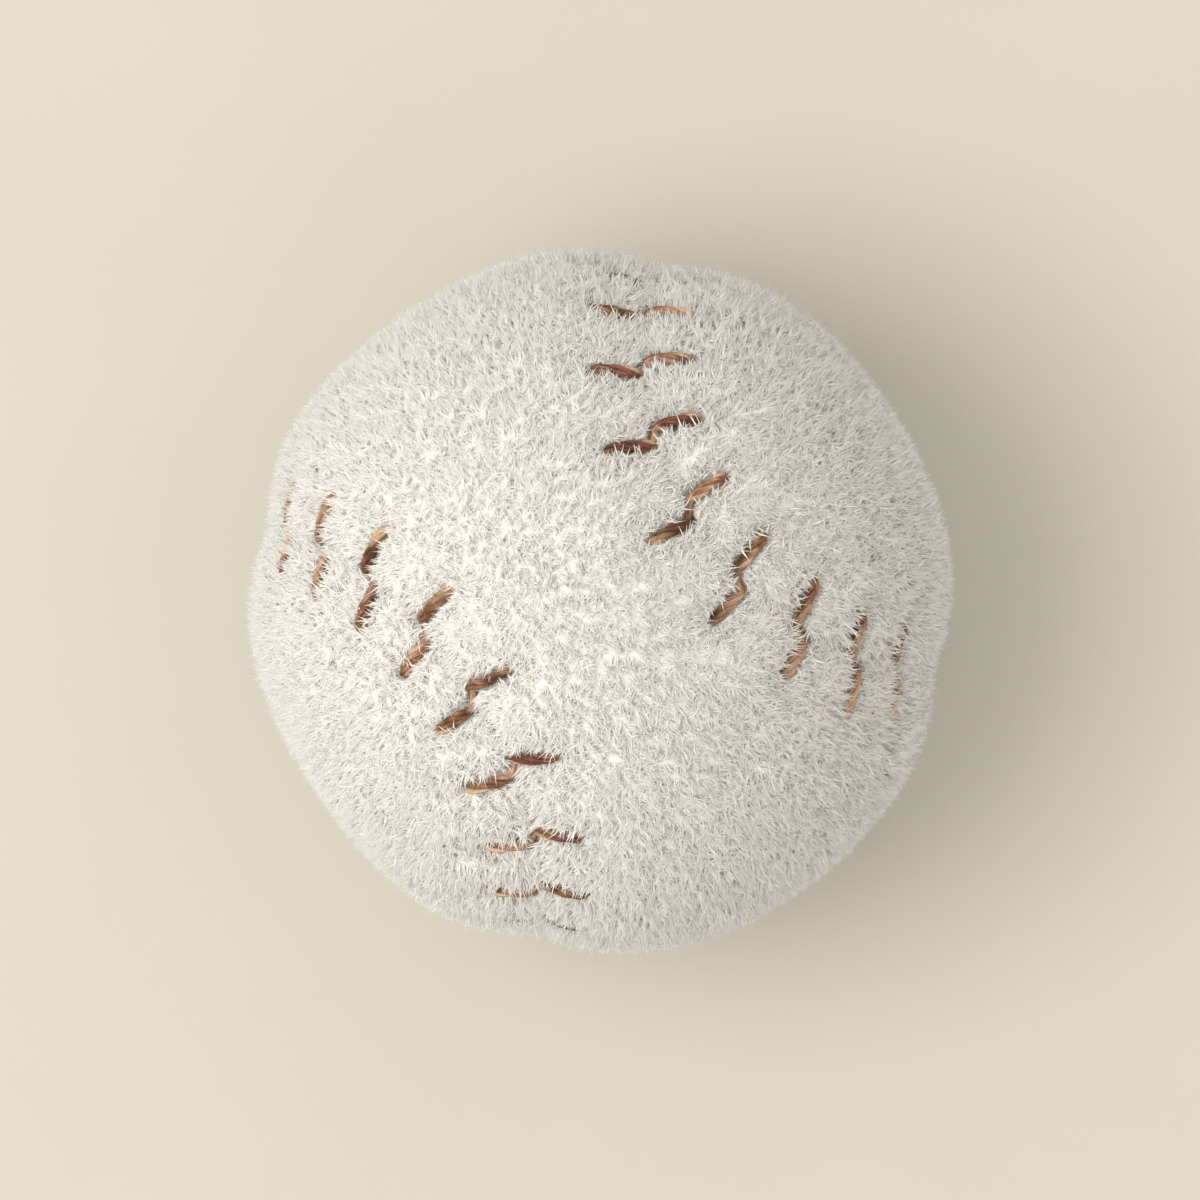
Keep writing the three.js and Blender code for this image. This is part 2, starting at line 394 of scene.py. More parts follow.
stitch = {
    "count": 42,
    "start": 0.46,  # of the first one, in spaces between stitches
    "step": 0.0023,  # along the seam, from one leg to the other
    "lean": 0.0004,  # along the seam, from the root of a leg to its tip
    "reach": 0.0062,
    "smoothing": 5,  # points between two stations of a leg
    "pathStep": 0.00028,
    "plies": 4,
    "plyRadius": 0.00031,
    "layRadius": 0.00036,
    "pitch": 0.0085,
    "wobble": 0.00035,
    "wobblesPerMetre": 260.0,
    "plyApart": 7.3,  # so that the plies wobble each its own way
    "plyOffset": 0.37,  # and don't share their streaks
    "sides": 7,
    "fuzzDensity": 3.5e6,  # loose fibres per square metre of yarn
    "fuzzLength": 0.0009,
    "fuzzWidth": 0.00007,
    "fuzzLengths": (0.4, 1.1),  # shares of that length
    "fuzzWander": 1.2,
    "stray": 0.0003,  # how far the ends stray
    "sink": 0.0002,  # how unevenly the ends are drawn down
    "seed": 7,
    # outer end to seam: offset from the seam, share of half a step, height over the pile, thickness
    "leg": [
        (0.0068, 1.00, -0.0030, 0.50),
        (0.0062, 1.00, -0.0019, 0.85),
        (0.0053, 1.00, -0.0013, 1.10),
        (0.0034, 1.00, -0.0011, 1.18),
        (0.0016, 1.04, -0.0011, 1.08),
        (0.0007, 1.00, -0.0013, 0.74),
        (0.0003, 0.50, -0.0017, 0.46),
    ],
}


def stitchAngles():
    share = (np.arange(stitch["count"]) + stitch["start"]) / stitch["count"]
    return seamAngleAt(share * seamLength)


# smooth line through stations: a cubic between each two of them
def smoothLine(stations, steps):
    padded = np.vstack([2 * stations[0] - stations[1], stations, 2 * stations[-1] - stations[-2]])
    share = np.linspace(0, 1, steps, endpoint=False)[:, None]
    pieces = []
    for a, b, c, d in zip(padded, padded[1:], padded[2:], padded[3:]):
        curve = 2 * b + (c - a) * share + (2 * a - 5 * b + 4 * c - d) * share**2
        pieces.append((curve + (3 * b - a - 3 * c + d) * share**3) / 2)
    return np.vstack([*pieces, stations[-1:]])


# directions, height over the pile and thickness along one stitch, whose ends stray a little
def stitchWay(angle, random):
    leg = np.array(stitch["leg"])
    lean = stitch["lean"] * leg[:, 0] / stitch["reach"]
    legs = []
    for sign in (1, -1):
        along = lean - sign * leg[:, 1] * stitch["step"] / 2
        legs.append(np.column_stack([sign * leg[:, 0], along, leg[:, 2:]])[::sign])
    stations = np.vstack(legs)
    share = np.linspace(0, 1, len(stations))[:, None]
    ends = random.normal(0, (stitch["stray"], stitch["stray"], stitch["sink"]), (2, 3))
    stations[:, :3] += ends[0] * (1 - share) + ends[1] * share
    way = smoothLine(stations, stitch["smoothing"])
    directions = besideSeam(np.full(len(way), angle), way[:, 0], way[:, 1])
    return directions, way[:, 2], way[:, 3]


stitchRandom = np.random.default_rng(stitch["seed"])
stitchWays = [stitchWay(angle, stitchRandom) for angle in stitchAngles()]
print("seam:", round(seamLength * 1000, 1), "mm,", len(stitchWays), "stitches")


# Cover panels: plush backing, drawn in by the seam and the stitches

panel = {
    "stepsPerStitch": 10,
    "rows": [0.00005, 0.0008, 0.0016, 0.0023, 0.0030, 0.0038, 0.0046, 0.0055, 0.0065, 0.0076, 0.0088],
    "crownSpacing": 0.0016,
    "crownClear": 0.6,  # of that spacing, from the last row
    "parts": 40,  # that long lists of points are worked out in
    "pileHeight": 0.0013,
    "floorGap": 0.0008,
    "stitchDent": 0.0012,
    "dentReach": 0.0015,
    "thickness": 0.0012,
    "rollGap": 0.0001,  # the edge rolls in from here
    "rollDepth": 0.0006,
    "allowanceGap": 0.0006,
    "allowanceStart": 0.0014,
    "allowanceDepth": 0.006,
    "liningStart": 0.0022,
    "liningClear": 0.0003,
    "fill": 0.8,
    "heldReach": 0.0007,  # a stitch holds the backing this far round it
    "crownReach": 0.011,  # from the seam, past which the filling steadies the backing
    "crownHold": 0.6,
    "simScale": 20.0,  # the cloth solver is steadier on a large ball
    "frames": 20,
    "puffCap": 0.0009,
    "cloth": {
        "quality": 4,
        "mass": 0.2,
        "tension_stiffness": 12,
        "compression_stiffness": 12,
        "shear_stiffness": 6,
        "bending_stiffness": 0.4,
        "use_pressure": True,
        "uniform_pressure_force": 80.0,
    },
}


def makeObject(name, mesh):
    made = bpy.data.objects.new(name, mesh)
    scene.collection.objects.link(made)
    return made


def meshFrom(name, points, faces, material=None):
    mesh = bpy.data.meshes.new(name)
    mesh.from_pydata(np.asarray(points).tolist(), [], faces)
    mesh.validate()
    mesh.shade_smooth()
    if material:
        mesh.materials.append(material)
    return mesh


# points spread evenly over the whole ball
def evenDirections(spacing):
    count = int(4 * math.pi * ball["radius"] ** 2 / spacing**2)
    index = np.arange(count) + 0.5
    z = 1 - 2 * index / count
    turn = index * math.pi * (3 - math.sqrt(5))
    flat = np.sqrt(1 - z * z)
    return np.stack([flat * np.cos(turn), flat * np.sin(turn), z], -1)


# the side of the seam that a direction lies on: 1 for the upper panel
def panelSide(directions):
    split = np.array_split(directions, panel["parts"])
    nearest = np.concatenate([(part @ seamDirections.T).argmax(1) for part in split])
    tangents = seamTangent(seamAngles[: -1 : ball["seamEvery"]])[nearest]
    sides = np.cross(seamDirections[nearest], tangents)
    return np.sign((sides * directions).sum(1))


# flat picture of one panel, seen from its own middle, for laying out triangles
def flatten(directions, sign):
    return directions[:, :2] / (1 + sign * directions[:, 2:])


def panelLayout(sign):
    count = panel["stepsPerStitch"] * stitch["count"]
    angles = seamAngleAt(np.arange(count) / count * seamLength)
    rings = [besideSeam(angles, np.full(count, sign * row)) for row in panel["rows"]]
    faces = []
    for row in range(len(rings) - 1):
        for step in range(count):
            after = (step + 1) % count
            corners = [row * count + step, row * count + after]
            corners += [(row + 1) * count + after, (row + 1) * count + step]
            faces.append(corners if sign > 0 else corners[::-1])
    crown = evenDirections(panel["crownSpacing"])
    clear = panel["rows"][-1] + panel["crownClear"] * panel["crownSpacing"]
    crown = crown[(panelSide(crown) == sign) & (seamDistance(crown) > clear)]
    rimStart = (len(rings) - 1) * count
    flat = flatten(np.vstack([rings[-1], crown]), sign)
    edge = list(range(count))
    x, y = flat[:count].T
    if np.dot(x, np.roll(y, -1)) < np.dot(y, np.roll(x, -1)):
        edge.reverse()
    laid = delaunay_2d_cdt([Vector(p) for p in flat], [], [edge], 1, 1e-9)
    source = [origins[0] for origins in laid[3]]
    for face in laid[2]:
        corners = [rimStart + source[corner] for corner in face]
        faces.append(corners if sign > 0 else corners[::-1])
    directions = np.vstack([*rings, crown])
    return directions, faces, count


# how deep the stitches press the backing in, and where they hold it
def stitchPress(directions):
    legs = np.vstack([way[0] for way in stitchWays])
    distance = arcTo(directions, legs, panel["parts"])
    return np.exp(-((distance / panel["dentReach"]) ** 2)), distance


# pressure swells the backing where neither the seam nor a stitch holds it
def inflate(name, points, faces, held):
    grown = points * panel["simScale"]
    cloth = makeObject(name, meshFrom(name, grown, faces))
    group = cloth.vertex_groups.new(name="held")
    for weight in np.unique(held):
        group.add(np.flatnonzero(held == weight).tolist(), float(weight), "REPLACE")
    modifier = cloth.modifiers.new("cloth", "CLOTH")
    settings = modifier.settings
    settings.vertex_group_mass = "held"
    for setting, value in panel["cloth"].items():
        setattr(settings, setting, value)
    settings.effector_weights.gravity = 0
    modifier.point_cache.frame_start = 1
    modifier.point_cache.frame_end = panel["frames"]
    for step in range(1, panel["frames"] + 1):
        scene.frame_set(step)
    settled = cloth.evaluated_get(bpy.context.evaluated_depsgraph_get()).data
    moved = np.empty(len(points) * 3)
    settled.vertices.foreach_get("co", moved)
    moved = moved.reshape(-1, 3) / panel["simScale"] - points
    bpy.data.objects.remove(cloth)
    scene.frame_set(1)
    length = np.linalg.norm(moved, axis=1, keepdims=True)
    print(name, "moved up to", round(float(length.max()) * 1000, 2), "mm, mean",
          round(float(length.mean()) * 1000, 2), "mm")
    return moved * np.minimum(1, panel["puffCap"] / np.maximum(length, 1e-9))


def skinNormals(points, faces):
    normals = np.zeros_like(points)
    for corners in (3, 4):
        group = np.array([face for face in faces if len(face) == corners])
        if len(group):
            start = points[group[:, 0]]
            across = np.cross(points[group[:, 1]] - start, points[group[:, 2]] - start)
            for corner in range(corners):
                np.add.at(normals, group[:, corner], across)
    return unit(normals)


# the swollen backing of one panel, from the middle of the ball
def panelSkin(sign, name):
    directions, faces, count = panelLayout(sign)
    distance = seamDistance(directions)
    press, fromStitch = stitchPress(directions)
    radius = coverRadius(directions, distance) - panel["pileHeight"] - panel["stitchDent"] * press
    points = directions * radius[:, None]
    lowest = panel["floorGap"] - ball["height"]
    points[:, 2] = np.maximum(points[:, 2], lowest)
    sewn = (distance < panel["rows"][1]) | (fromStitch < panel["heldReach"])
    held = np.maximum(
        np.where(sewn, 1.0, 0.0), np.where(distance > panel["crownReach"], panel["crownHold"], 0.0)
    )
    points = points + inflate(name, points, faces, held)
    points[:, 2] = np.maximum(points[:, 2], lowest)
    return points, faces, count


# closes a skin with its lining and the edge that is turned in along the seam
def panelSolid(name, sign, skin, material):
    points, faces, count = skin
    normals = skinNormals(points, faces)
    angles = seamAngleAt(np.arange(count) / count * seamLength)
    out = unit(seamPoint(angles))
    side = np.cross(out, seamTangent(angles)) * sign
    edgeRadius = np.linalg.norm(points[:count], axis=1)[:, None]

    def ring(offset, depth):
        return out * (edgeRadius - depth) + side * offset

    gap = panel["allowanceGap"]
    outer = gap + panel["thickness"]
    deep = panel["allowanceDepth"]
    rings = [
        ring(panel["rollGap"], panel["rollDepth"]),
        ring(gap, panel["allowanceStart"]),
        ring(gap, deep),
        ring(outer, deep),
        ring(outer, panel["liningStart"]),
    ]
    total = len(points)
    clear = outer + panel["liningClear"]
    liningRow = next(row for row, offset in enumerate(panel["rows"]) if offset > clear)
    lining = points - normals * panel["thickness"]
    allPoints = np.vstack([points, *rings, lining])
    liningStart = total + len(rings) * count
    allFaces = [list(face) for face in faces]
    for face in faces:
        if min(face) >= liningRow * count:
            allFaces.append([liningStart + corner for corner in reversed(face)])
    starts = [0, *(total + index * count for index in range(len(rings))), liningStart + liningRow * count]
    for first, second in zip(starts, starts[1:]):
        for step in range(count):
            after = (step + 1) % count
            corners = [first + after, first + step, second + step, second + after]
            allFaces.append(corners if sign > 0 else corners[::-1])
    used = np.unique(np.concatenate([np.asarray(face) for face in allFaces]))
    renumbered = np.full(len(allPoints), -1)
    renumbered[used] = np.arange(len(used))
    allFaces = [[int(renumbered[corner]) for corner in face] for face in allFaces]
    mesh = meshFrom(name, allPoints[used] + middle, allFaces, material)
    return makeObject(name, mesh)


# Pile: strands by Geometry Nodes on the swollen backing

pile = {
    "mapName": "OFBake",  # the strands' map, which their material reads; the export bakes strands through a map of this name
    "mapMargin": 0.02,
    "mapWidth": 0.012,  # of one side of a strand
    "patchScale": 70.0,
    "patchShade": 0.3,  # shares of the map that patches and single strands take
    "strandShade": 0.66,
    "lengths": (0.72, 1.12),  # shortest and longest strand, as shares of the layer's length
    "floorGap": 0.00005,
    "seamSteps": 600,
    "bareEnds": 7,  # points at each end of a stitch that sink into full pile
    "tuftDensity": 3e6,  # most tufts per square metre
    "tuftSpacing": 0.0011,
    "tuftLean": 1.1,  # how far each tuft leans its own way
    "gather": 0.55,  # how far its strands lean to its middle
    "upright": 0.75,
    "jitter": 0.22,
    "parting": 0.9,  # how far the pile leans away from a stitch
    "partingReach": (0.0008, 0.0028),
    "closing": 0.6,  # and towards the seam
    "closingReach": (0.0004, 0.0030),
    "pressed": 0.3,  # length that is left under a stitch
    "pressedReach": (0.0005, 0.0013),
    "collar": 0.28,  # how much longer the pile stands beside one
    "collarReach": (0.0012, 0.0032),
    "softness": 0.45,  # share of the ball's own roundness in the strands' shading
    "seed": 11,
    "layers": [
        # strand shape, strands per square millimetre, length, thickness
        {"shape": "spike", "density": 4.4, "length": 0.0018, "width": 0.00023},
        {"shape": "spike", "density": 4.4, "length": 0.0019, "width": 0.00022},
        {"shape": "spike", "density": 4.4, "length": 0.0020, "width": 0.00021},
        {"shape": "curl", "density": 1.7, "length": 0.0020, "width": 0.00018},
    ],
}


# strands one unit long: rings as bend, height and radius, and the bend of the tip
strandShapes = {
    "spike": {"rings": [(0, 0, 0.5)], "tipBend": 0.0},
    "curl": {"rings": [(0, 0, 0.5), (0.12, 0.55, 0.42)], "tipBend": 0.5},
}


# three-sided strand: bend, place across and height of each point, its side, and the faces
def strandShape(shape):
    rings = strandShapes[shape]["rings"]
    points = []
    spread = []
    for bend, height, radius in rings:
        for side in range(3):
            angle = side * 2 * math.pi / 3
            points.append((bend, radius * math.cos(angle), radius * math.sin(angle), height))
            spread.append(side - 1)
    points.append((strandShapes[shape]["tipBend"], 0, 0, 1.0))
    spread.append(0)
    last = len(points) - 1
    faces = [[2, 1, 0]]
    for ring in range(len(rings) - 1):
        for side in range(3):
            after = (side + 1) % 3
            start = ring * 3
            faces.append([start + side, start + after, start + 3 + after, start + 3 + side])
    for side in range(3):
        faces.append([last - 3 + side, last - 3 + (side + 1) % 3, last])
    return points, spread, faces


def strandTemplate(shape, length, width):
    points, spread, faces = strandShape(shape)
    # the cross section is scaled to the width, the bend and height to the length
    places = [(bend * length + x * width, y * width, height * length) for bend, x, y, height in points]
    mesh = meshFrom("strand", places, faces)
    tipValues = [point[3] for point in points]
    mesh.attributes.new("tip", "FLOAT", "POINT").data.foreach_set("value", tipValues)
    mesh.attributes.new("spread", "FLOAT", "POINT").data.foreach_set("value", spread)
    return bpy.data.objects.new("strand", mesh)


# lines on the backing that the pile is pressed down along
def guideObject(name, lines):
    points = np.vstack(lines)
    edges = []
    start = 0
    for line in lines:
        edges += [(start + step, start + step + 1) for step in range(len(line) - 1)]
        start += len(line)
    mesh = bpy.data.meshes.new(name)
    mesh.from_pydata(points.tolist(), edges, [])
    return bpy.data.objects.new(name, mesh)


def newTree(name, inputs):
    tree = bpy.data.node_groups.new(name, "GeometryNodeTree")
    tree.interface.new_socket("Geometry", in_out="INPUT", socket_type="NodeSocketGeometry")
    for label, kind in inputs.items():
        tree.interface.new_socket(label, in_out="INPUT", socket_type="NodeSocket" + kind)
    tree.interface.new_socket("Geometry", in_out="OUTPUT", socket_type="NodeSocketGeometry")
    return tree, Graph(tree)


def pileTree():
    tree, graph = newTree("plushPile", {
        "Strand": "Object",
        "Stitch lines": "Object",
        "Seam line": "Object",
        "Density": "Float",
        "Upright": "Float",
        "Tuft spacing": "Float",
        "Tuft lean": "Float",
        "Gather": "Float",
        "Parting": "Float",
        "Closing": "Float",
        "Jitter": "Float",
        "Pressed": "Float",
        "Collar": "Float",
        "Softness": "Float",
        "Middle": "Vector",
        "Floor": "Float",
        "Tuft seed": "Int",
        "Seed": "Int",
        "Material": "Material",
    })
    given = graph.add("NodeGroupInput", None, None, "Geometry")
    seed = given.other("Seed")
    spread = graph.add("GeometryNodeDistributePointsOnFaces", None, {
        "Mesh": given, "Density": given.other("Density"), "Seed": seed,
    }, "Points")
    place = graph.add("GeometryNodeInputPosition")

    def nearLine(label):
        line = graph.add("GeometryNodeObjectInfo", None, {"Object": given.other(label)}, "Geometry")
        return graph.add("GeometryNodeProximity", {"target_element": "EDGES"}, {0: line}, "Distance")

    def awayFrom(near):
        gap = place - near.other("Position")
        return graph.add("ShaderNodeVectorMath", {"operation": "NORMALIZE"}, {0: gap})

    def randomValue(low, high, shift):
        sockets = {2: low, 3: high, "Seed": seed + shift}
        return graph.add("FunctionNodeRandomValue", {"data_type": "FLOAT"}, sockets, 1)

    # strands lean to the middle of the nearest tuft, and each tuft leans its own way
    tufts = graph.add("GeometryNodeDistributePointsOnFaces", {"distribute_method": "POISSON"}, {
        "Mesh": given,
        "Distance Min": given.other("Tuft spacing"),
        "Density Max": pile["tuftDensity"],
        "Seed": given.other("Tuft seed"),
    }, "Points")
    tuft = graph.add("GeometryNodeProximity", {"target_element": "POINTS"}, {0: tufts}, "Position")
    own = graph.add("ShaderNodeTexWhiteNoise", {"noise_dimensions": "3D"}, {"Vector": tuft}, "Color")
    wander = graph.add("FunctionNodeRandomValue", {"data_type": "FLOAT_VECTOR"}, {
        0: (-1.0, -1.0, -1.0), 1: (1.0, 1.0, 1.0), "Seed": seed + 1,
    }, 0)
    half = graph.add("ShaderNodeCombineXYZ", None, {"X": 0.5, "Y": 0.5, "Z": 0.5})
    stitchNear = nearLine("Stitch lines")
    seamNear = nearLine("Seam line")
    parting = graph.ramp(stitchNear, *pile["partingReach"], 1.0, 0.0) * given.other("Parting")
    closing = graph.ramp(seamNear, *pile["closingReach"], 1.0, 0.0) * given.other("Closing")
    lay = spread.other("Normal") * given.other("Upright") + (own - half) * given.other("Tuft lean")
    lay = lay + (tuft - place) * (given.other("Gather") / given.other("Tuft spacing"))
    lay = lay + wander * given.other("Jitter")
    lay = lay + awayFrom(stitchNear) * parting - awayFrom(seamNear) * closing
    aimed = graph.add("FunctionNodeAlignRotationToVector", {"axis": "Z"}, {"Vector": lay})
    spin = graph.add("FunctionNodeAxisAngleToRotation", None, {
        "Axis": (0.0, 0.0, 1.0), "Angle": randomValue(0.0, 2 * math.pi, 2),
    })
    turned = graph.add("FunctionNodeRotateRotation", {"rotation_space": "LOCAL"}, {0: aimed, 1: spin})
    under = graph.ramp(stitchNear, *pile["pressedReach"], given.other("Pressed"), 1.0)
    collar = graph.ramp(stitchNear, *pile["collarReach"], 1.0, 0.0) * given.other("Collar")
    size = randomValue(*pile["lengths"], 3) * under * (collar + 1.0)
    strand = graph.add("GeometryNodeObjectInfo", None, {"Object": given.other("Strand")}, "Geometry")
    placed = graph.add("GeometryNodeInstanceOnPoints", None, {
        "Points": spread, "Instance": strand, "Rotation": turned, "Scale": size,
    })
    patches = graph.ramp(graph.noise(place, pile["patchScale"], 2), 0.3, 0.7)
    shade = patches * pile["patchShade"] + randomValue(0.0, pile["strandShade"], 4) + pile["mapMargin"]
    named = graph.add("GeometryNodeStoreNamedAttribute", {"data_type": "FLOAT", "domain": "INSTANCE"}, {
        "Geometry": placed, "Name": "shade", "Value": shade,
    })
    real = graph.add("GeometryNodeRealizeInstances", None, {0: named})

    def attribute(name):
        return graph.add("GeometryNodeInputNamedAttribute", {"data_type": "FLOAT"}, {"Name": name})

    across = attribute("shade") + attribute("spread") * pile["mapWidth"]
    up = attribute("tip") * (1 - 2 * pile["mapMargin"]) + pile["mapMargin"]
    spot = graph.add("ShaderNodeCombineXYZ", None, {"X": across, "Y": up})
    mapped = graph.add("GeometryNodeStoreNamedAttribute", {"data_type": "FLOAT2", "domain": "CORNER"}, {
        "Geometry": real, "Name": pile["mapName"], "Value": spot,
    })
    # strands that meet the floor lie flat on it
    axes = graph.add("ShaderNodeSeparateXYZ", None, {0: graph.add("GeometryNodeInputPosition")}, "X")
    level = graph.maths("MAXIMUM", axes.other("Z"), given.other("Floor"))
    stood = graph.add("ShaderNodeCombineXYZ", None, {"X": axes, "Y": axes.other("Y"), "Z": level})
    pressed = graph.add("GeometryNodeSetPosition", None, {"Geometry": mapped, "Position": stood})
    out = graph.add("GeometryNodeInputPosition") - given.other("Middle")
    out = graph.add("ShaderNodeVectorMath", {"operation": "NORMALIZE"}, {0: out})
    facing = graph.add("GeometryNodeInputNormal") * (1.0 - given.other("Softness"))
    softened = graph.add("GeometryNodeSetMeshNormal", {"mode": "FREE", "domain": "POINT"}, {
        "Mesh": pressed, "Custom Normal": facing + out * given.other("Softness"),
    })
    dressed = graph.add("GeometryNodeSetMaterial", None, {
        "Geometry": softened, "Material": given.other("Material"),
    })
    graph.add("NodeGroupOutput", None, {0: dressed})
    return tree


# runs a tree on an object and returns its result as a plain mesh
def growMesh(source, tree, values):
    modifier = source.modifiers.new("grow", "NODES")
    modifier.node_group = tree
    for item in tree.interface.items_tree:
        if item.in_out == "INPUT" and item.name in values:
            modifier[item.identifier] = values[item.name]
    source.update_tag()
    bpy.context.view_layer.update()
    depsgraph = bpy.context.evaluated_depsgraph_get()
    mesh = bpy.data.meshes.new_from_object(source.evaluated_get(depsgraph), depsgraph=depsgraph)
    source.modifiers.remove(modifier)
    return mesh


def dropAttributes(mesh, names):
    for name in names:
        if name in mesh.attributes:
            mesh.attributes.remove(mesh.attributes[name])


def report(piece):
    piece.data.calc_loop_triangles()
    print(piece.name, len(piece.data.loop_triangles), "triangles")


# Build the cover

backing = backingMaterial()
strands = pileMaterial(pile["mapName"])
tree = pileTree()
stitchLines = []
for directions, _, _ in stitchWays:
    radius = coverRadius(directions, seamDistance(directions))
    radius = radius - panel["pileHeight"] - panel["stitchDent"]
    line = directions * radius[:, None] + middle
    stitchLines.append(line[pile["bareEnds"] : -pile["bareEnds"]])
seamOut = unit(seamPoint(np.linspace(0, 2 * math.pi, pile["seamSteps"])))
seamRadius = coverRadius(seamOut, seamDistance(seamOut)) - panel["pileHeight"]
stitchGuide = guideObject("stitchLines", stitchLines)
seamGuide = guideObject("seamLine", [seamOut * seamRadius[:, None] + middle])
for label, sign in (("top", 1), ("bottom", -1)):
    node = "cover_panel_" + label
    skin = panelSkin(sign, node)
    solid = panelSolid("plush_panel_" + label, sign, skin, backing)
    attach(solid, "root")
    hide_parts(node)
    report(solid)
    points, faces, _ = skin
    source = makeObject("pileGround", meshFrom("pileGround", points + middle, faces))
    for index, layer in enumerate(pile["layers"]):
        template = strandTemplate(layer["shape"], layer["length"], layer["width"])
        mesh = growMesh(source, tree, {
            "Strand": template,
            "Stitch lines": stitchGuide,
            "Seam line": seamGuide,
            "Density": layer["density"] * 1e6,
            "Upright": pile["upright"],
            "Tuft spacing": pile["tuftSpacing"],
            "Tuft lean": pile["tuftLean"],
            "Gather": pile["gather"],
            "Parting": pile["parting"],
            "Closing": pile["closing"],
            "Jitter": pile["jitter"],
            "Pressed": pile["pressed"],
            "Collar": pile["collar"],
            "Softness": pile["softness"],
            "Middle": middle.tolist(),
            "Floor": pile["floorGap"],
            "Tuft seed": pile["seed"],
            "Seed": pile["seed"] + 10 * index + (sign < 0),
            "Material": strands,
        })
        dropAttributes(mesh, ["tip", "spread", "shade"])
        piece = makeObject(f"plush_pile_{label}_{index + 1}", mesh)
        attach(piece, "root")
        bpy.data.objects.remove(template)
        report(piece)
    bpy.data.objects.remove(source)
for guide in (stitchGuide, seamGuide):
    bpy.data.objects.remove(guide)


# Yarn: plies twisted along a path, by Geometry Nodes

def yarnTree():
    tree, graph = newTree("twistedYarn", {
        "Plies": "Int",
        "Ply radius": "Float",
        "Lay radius": "Float",
        "Pitch": "Float",
        "Wobble": "Float",
        "Wobbles per metre": "Float",
        "Step": "Float",
        "Sides": "Int",
        "Fuzz": "Float",
        "Fibre": "Object",
        "Seed": "Int",
        "Material": "Material",
    })
    given = graph.add("NodeGroupInput", None, None, "Geometry")
    even = graph.add("GeometryNodeResampleCurve", {"mode": "LENGTH"}, {
        "Curve": given, "Length": given.other("Step"),
    })
    plies = graph.add("GeometryNodeDuplicateElements", {"domain": "SPLINE"}, {
        "Geometry": even, "Amount": given.other("Plies"),
    }, "Geometry")
    along = graph.add("GeometryNodeSplineParameter", None, None, "Length")
    index = plies.other("Duplicate Index")
    turn = along / given.other("Pitch") + index / given.other("Plies")
    angle = turn * (2 * math.pi)
    normal = graph.add("GeometryNodeInputNormal")
    tangent = graph.add("GeometryNodeInputTangent")
    across = graph.add("ShaderNodeVectorMath", {"operation": "CROSS_PRODUCT"}, {0: tangent, 1: normal})
    thick = graph.add("GeometryNodeInputRadius")
    offset = normal * graph.maths("COSINE", angle) + across * graph.maths("SINE", angle)
    offset = offset * (thick * given.other("Lay radius"))
    stir = graph.add("ShaderNodeCombineXYZ", None, {
        "X": along * given.other("Wobbles per metre"), "Y": index * stitch["plyApart"], "Z": 0.0,
    })
    drift = graph.noise(stir, 1.0, 1, 0.5, "Color")
    half = graph.add("ShaderNodeCombineXYZ", None, {"X": 0.5, "Y": 0.5, "Z": 0.5})
    offset = offset + (drift - half) * given.other("Wobble")
    twisted = graph.add("GeometryNodeSetPosition", None, {"Geometry": plies, "Offset": offset})
    marked = graph.add("GeometryNodeStoreNamedAttribute", {"data_type": "FLOAT", "domain": "POINT"}, {
        "Geometry": twisted, "Name": "along", "Value": along + index * stitch["plyOffset"],
    })
    tinted = graph.add("GeometryNodeStoreNamedAttribute", {"data_type": "FLOAT", "domain": "POINT"}, {
        "Geometry": marked, "Name": "ply", "Value": index / given.other("Plies"),
    })
    ring = graph.add("GeometryNodeCurvePrimitiveCircle", {"mode": "RADIUS"}, {
        "Resolution": given.other("Sides"), "Radius": given.other("Ply radius"),
    })
    ringPart = graph.add("GeometryNodeSplineParameter", None, None, "Factor")
    folded = graph.maths("ABSOLUTE", ringPart * 2.0 - 1.0)  # no jump where the ring closes
    ringed = graph.add("GeometryNodeStoreNamedAttribute", {"data_type": "FLOAT", "domain": "POINT"}, {
        "Geometry": ring, "Name": "around", "Value": folded,
    })
    tube = graph.add("GeometryNodeCurveToMesh", None, {
        "Curve": tinted, "Profile Curve": ringed, "Fill Caps": True,
    })
    smooth = graph.add("GeometryNodeSetShadeSmooth", None, {"Geometry": tube})
    hairs = graph.add("GeometryNodeDistributePointsOnFaces", None, {
        "Mesh": smooth, "Density": given.other("Fuzz"), "Seed": given.other("Seed"),
    }, "Points")
    wander = graph.add("FunctionNodeRandomValue", {"data_type": "FLOAT_VECTOR"}, {
        0: [-stitch["fuzzWander"]] * 3, 1: [stitch["fuzzWander"]] * 3, "Seed": given.other("Seed"),
    }, 0)
    aimed = graph.add("FunctionNodeAlignRotationToVector", {"axis": "Z"}, {
        "Vector": hairs.other("Normal") + wander,
    })
    fibre = graph.add("GeometryNodeObjectInfo", None, {"Object": given.other("Fibre")}, "Geometry")
    size = graph.add("FunctionNodeRandomValue", {"data_type": "FLOAT"}, {
        2: stitch["fuzzLengths"][0], 3: stitch["fuzzLengths"][1], "Seed": given.other("Seed"),
    }, 1)
    fuzz = graph.add("GeometryNodeInstanceOnPoints", None, {
        "Points": hairs, "Instance": fibre, "Rotation": aimed, "Scale": size,
    })
    joined = graph.add("GeometryNodeJoinGeometry")
    for part in (smooth, fuzz):
        graph.tree.links.new(part.socket, joined.socket.node.inputs[0])
    real = graph.add("GeometryNodeRealizeInstances", None, {0: joined})
    dressed = graph.add("GeometryNodeSetMaterial", None, {
        "Geometry": real, "Material": given.other("Material"),
    })
    graph.add("NodeGroupOutput", None, {0: dressed})
    return tree


def curveObject(name, points, thickness, closed=False):
    curve = bpy.data.curves.new(name, "CURVE")
    curve.dimensions = "3D"
    spline = curve.splines.new("POLY")
    spline.points.add(len(points) - 1)
    for knot, place, thick in zip(spline.points, points, thickness):
        knot.co = (*place, 1)
        knot.radius = thick
    spline.use_cyclic_u = closed
    return makeObject(name, curve)


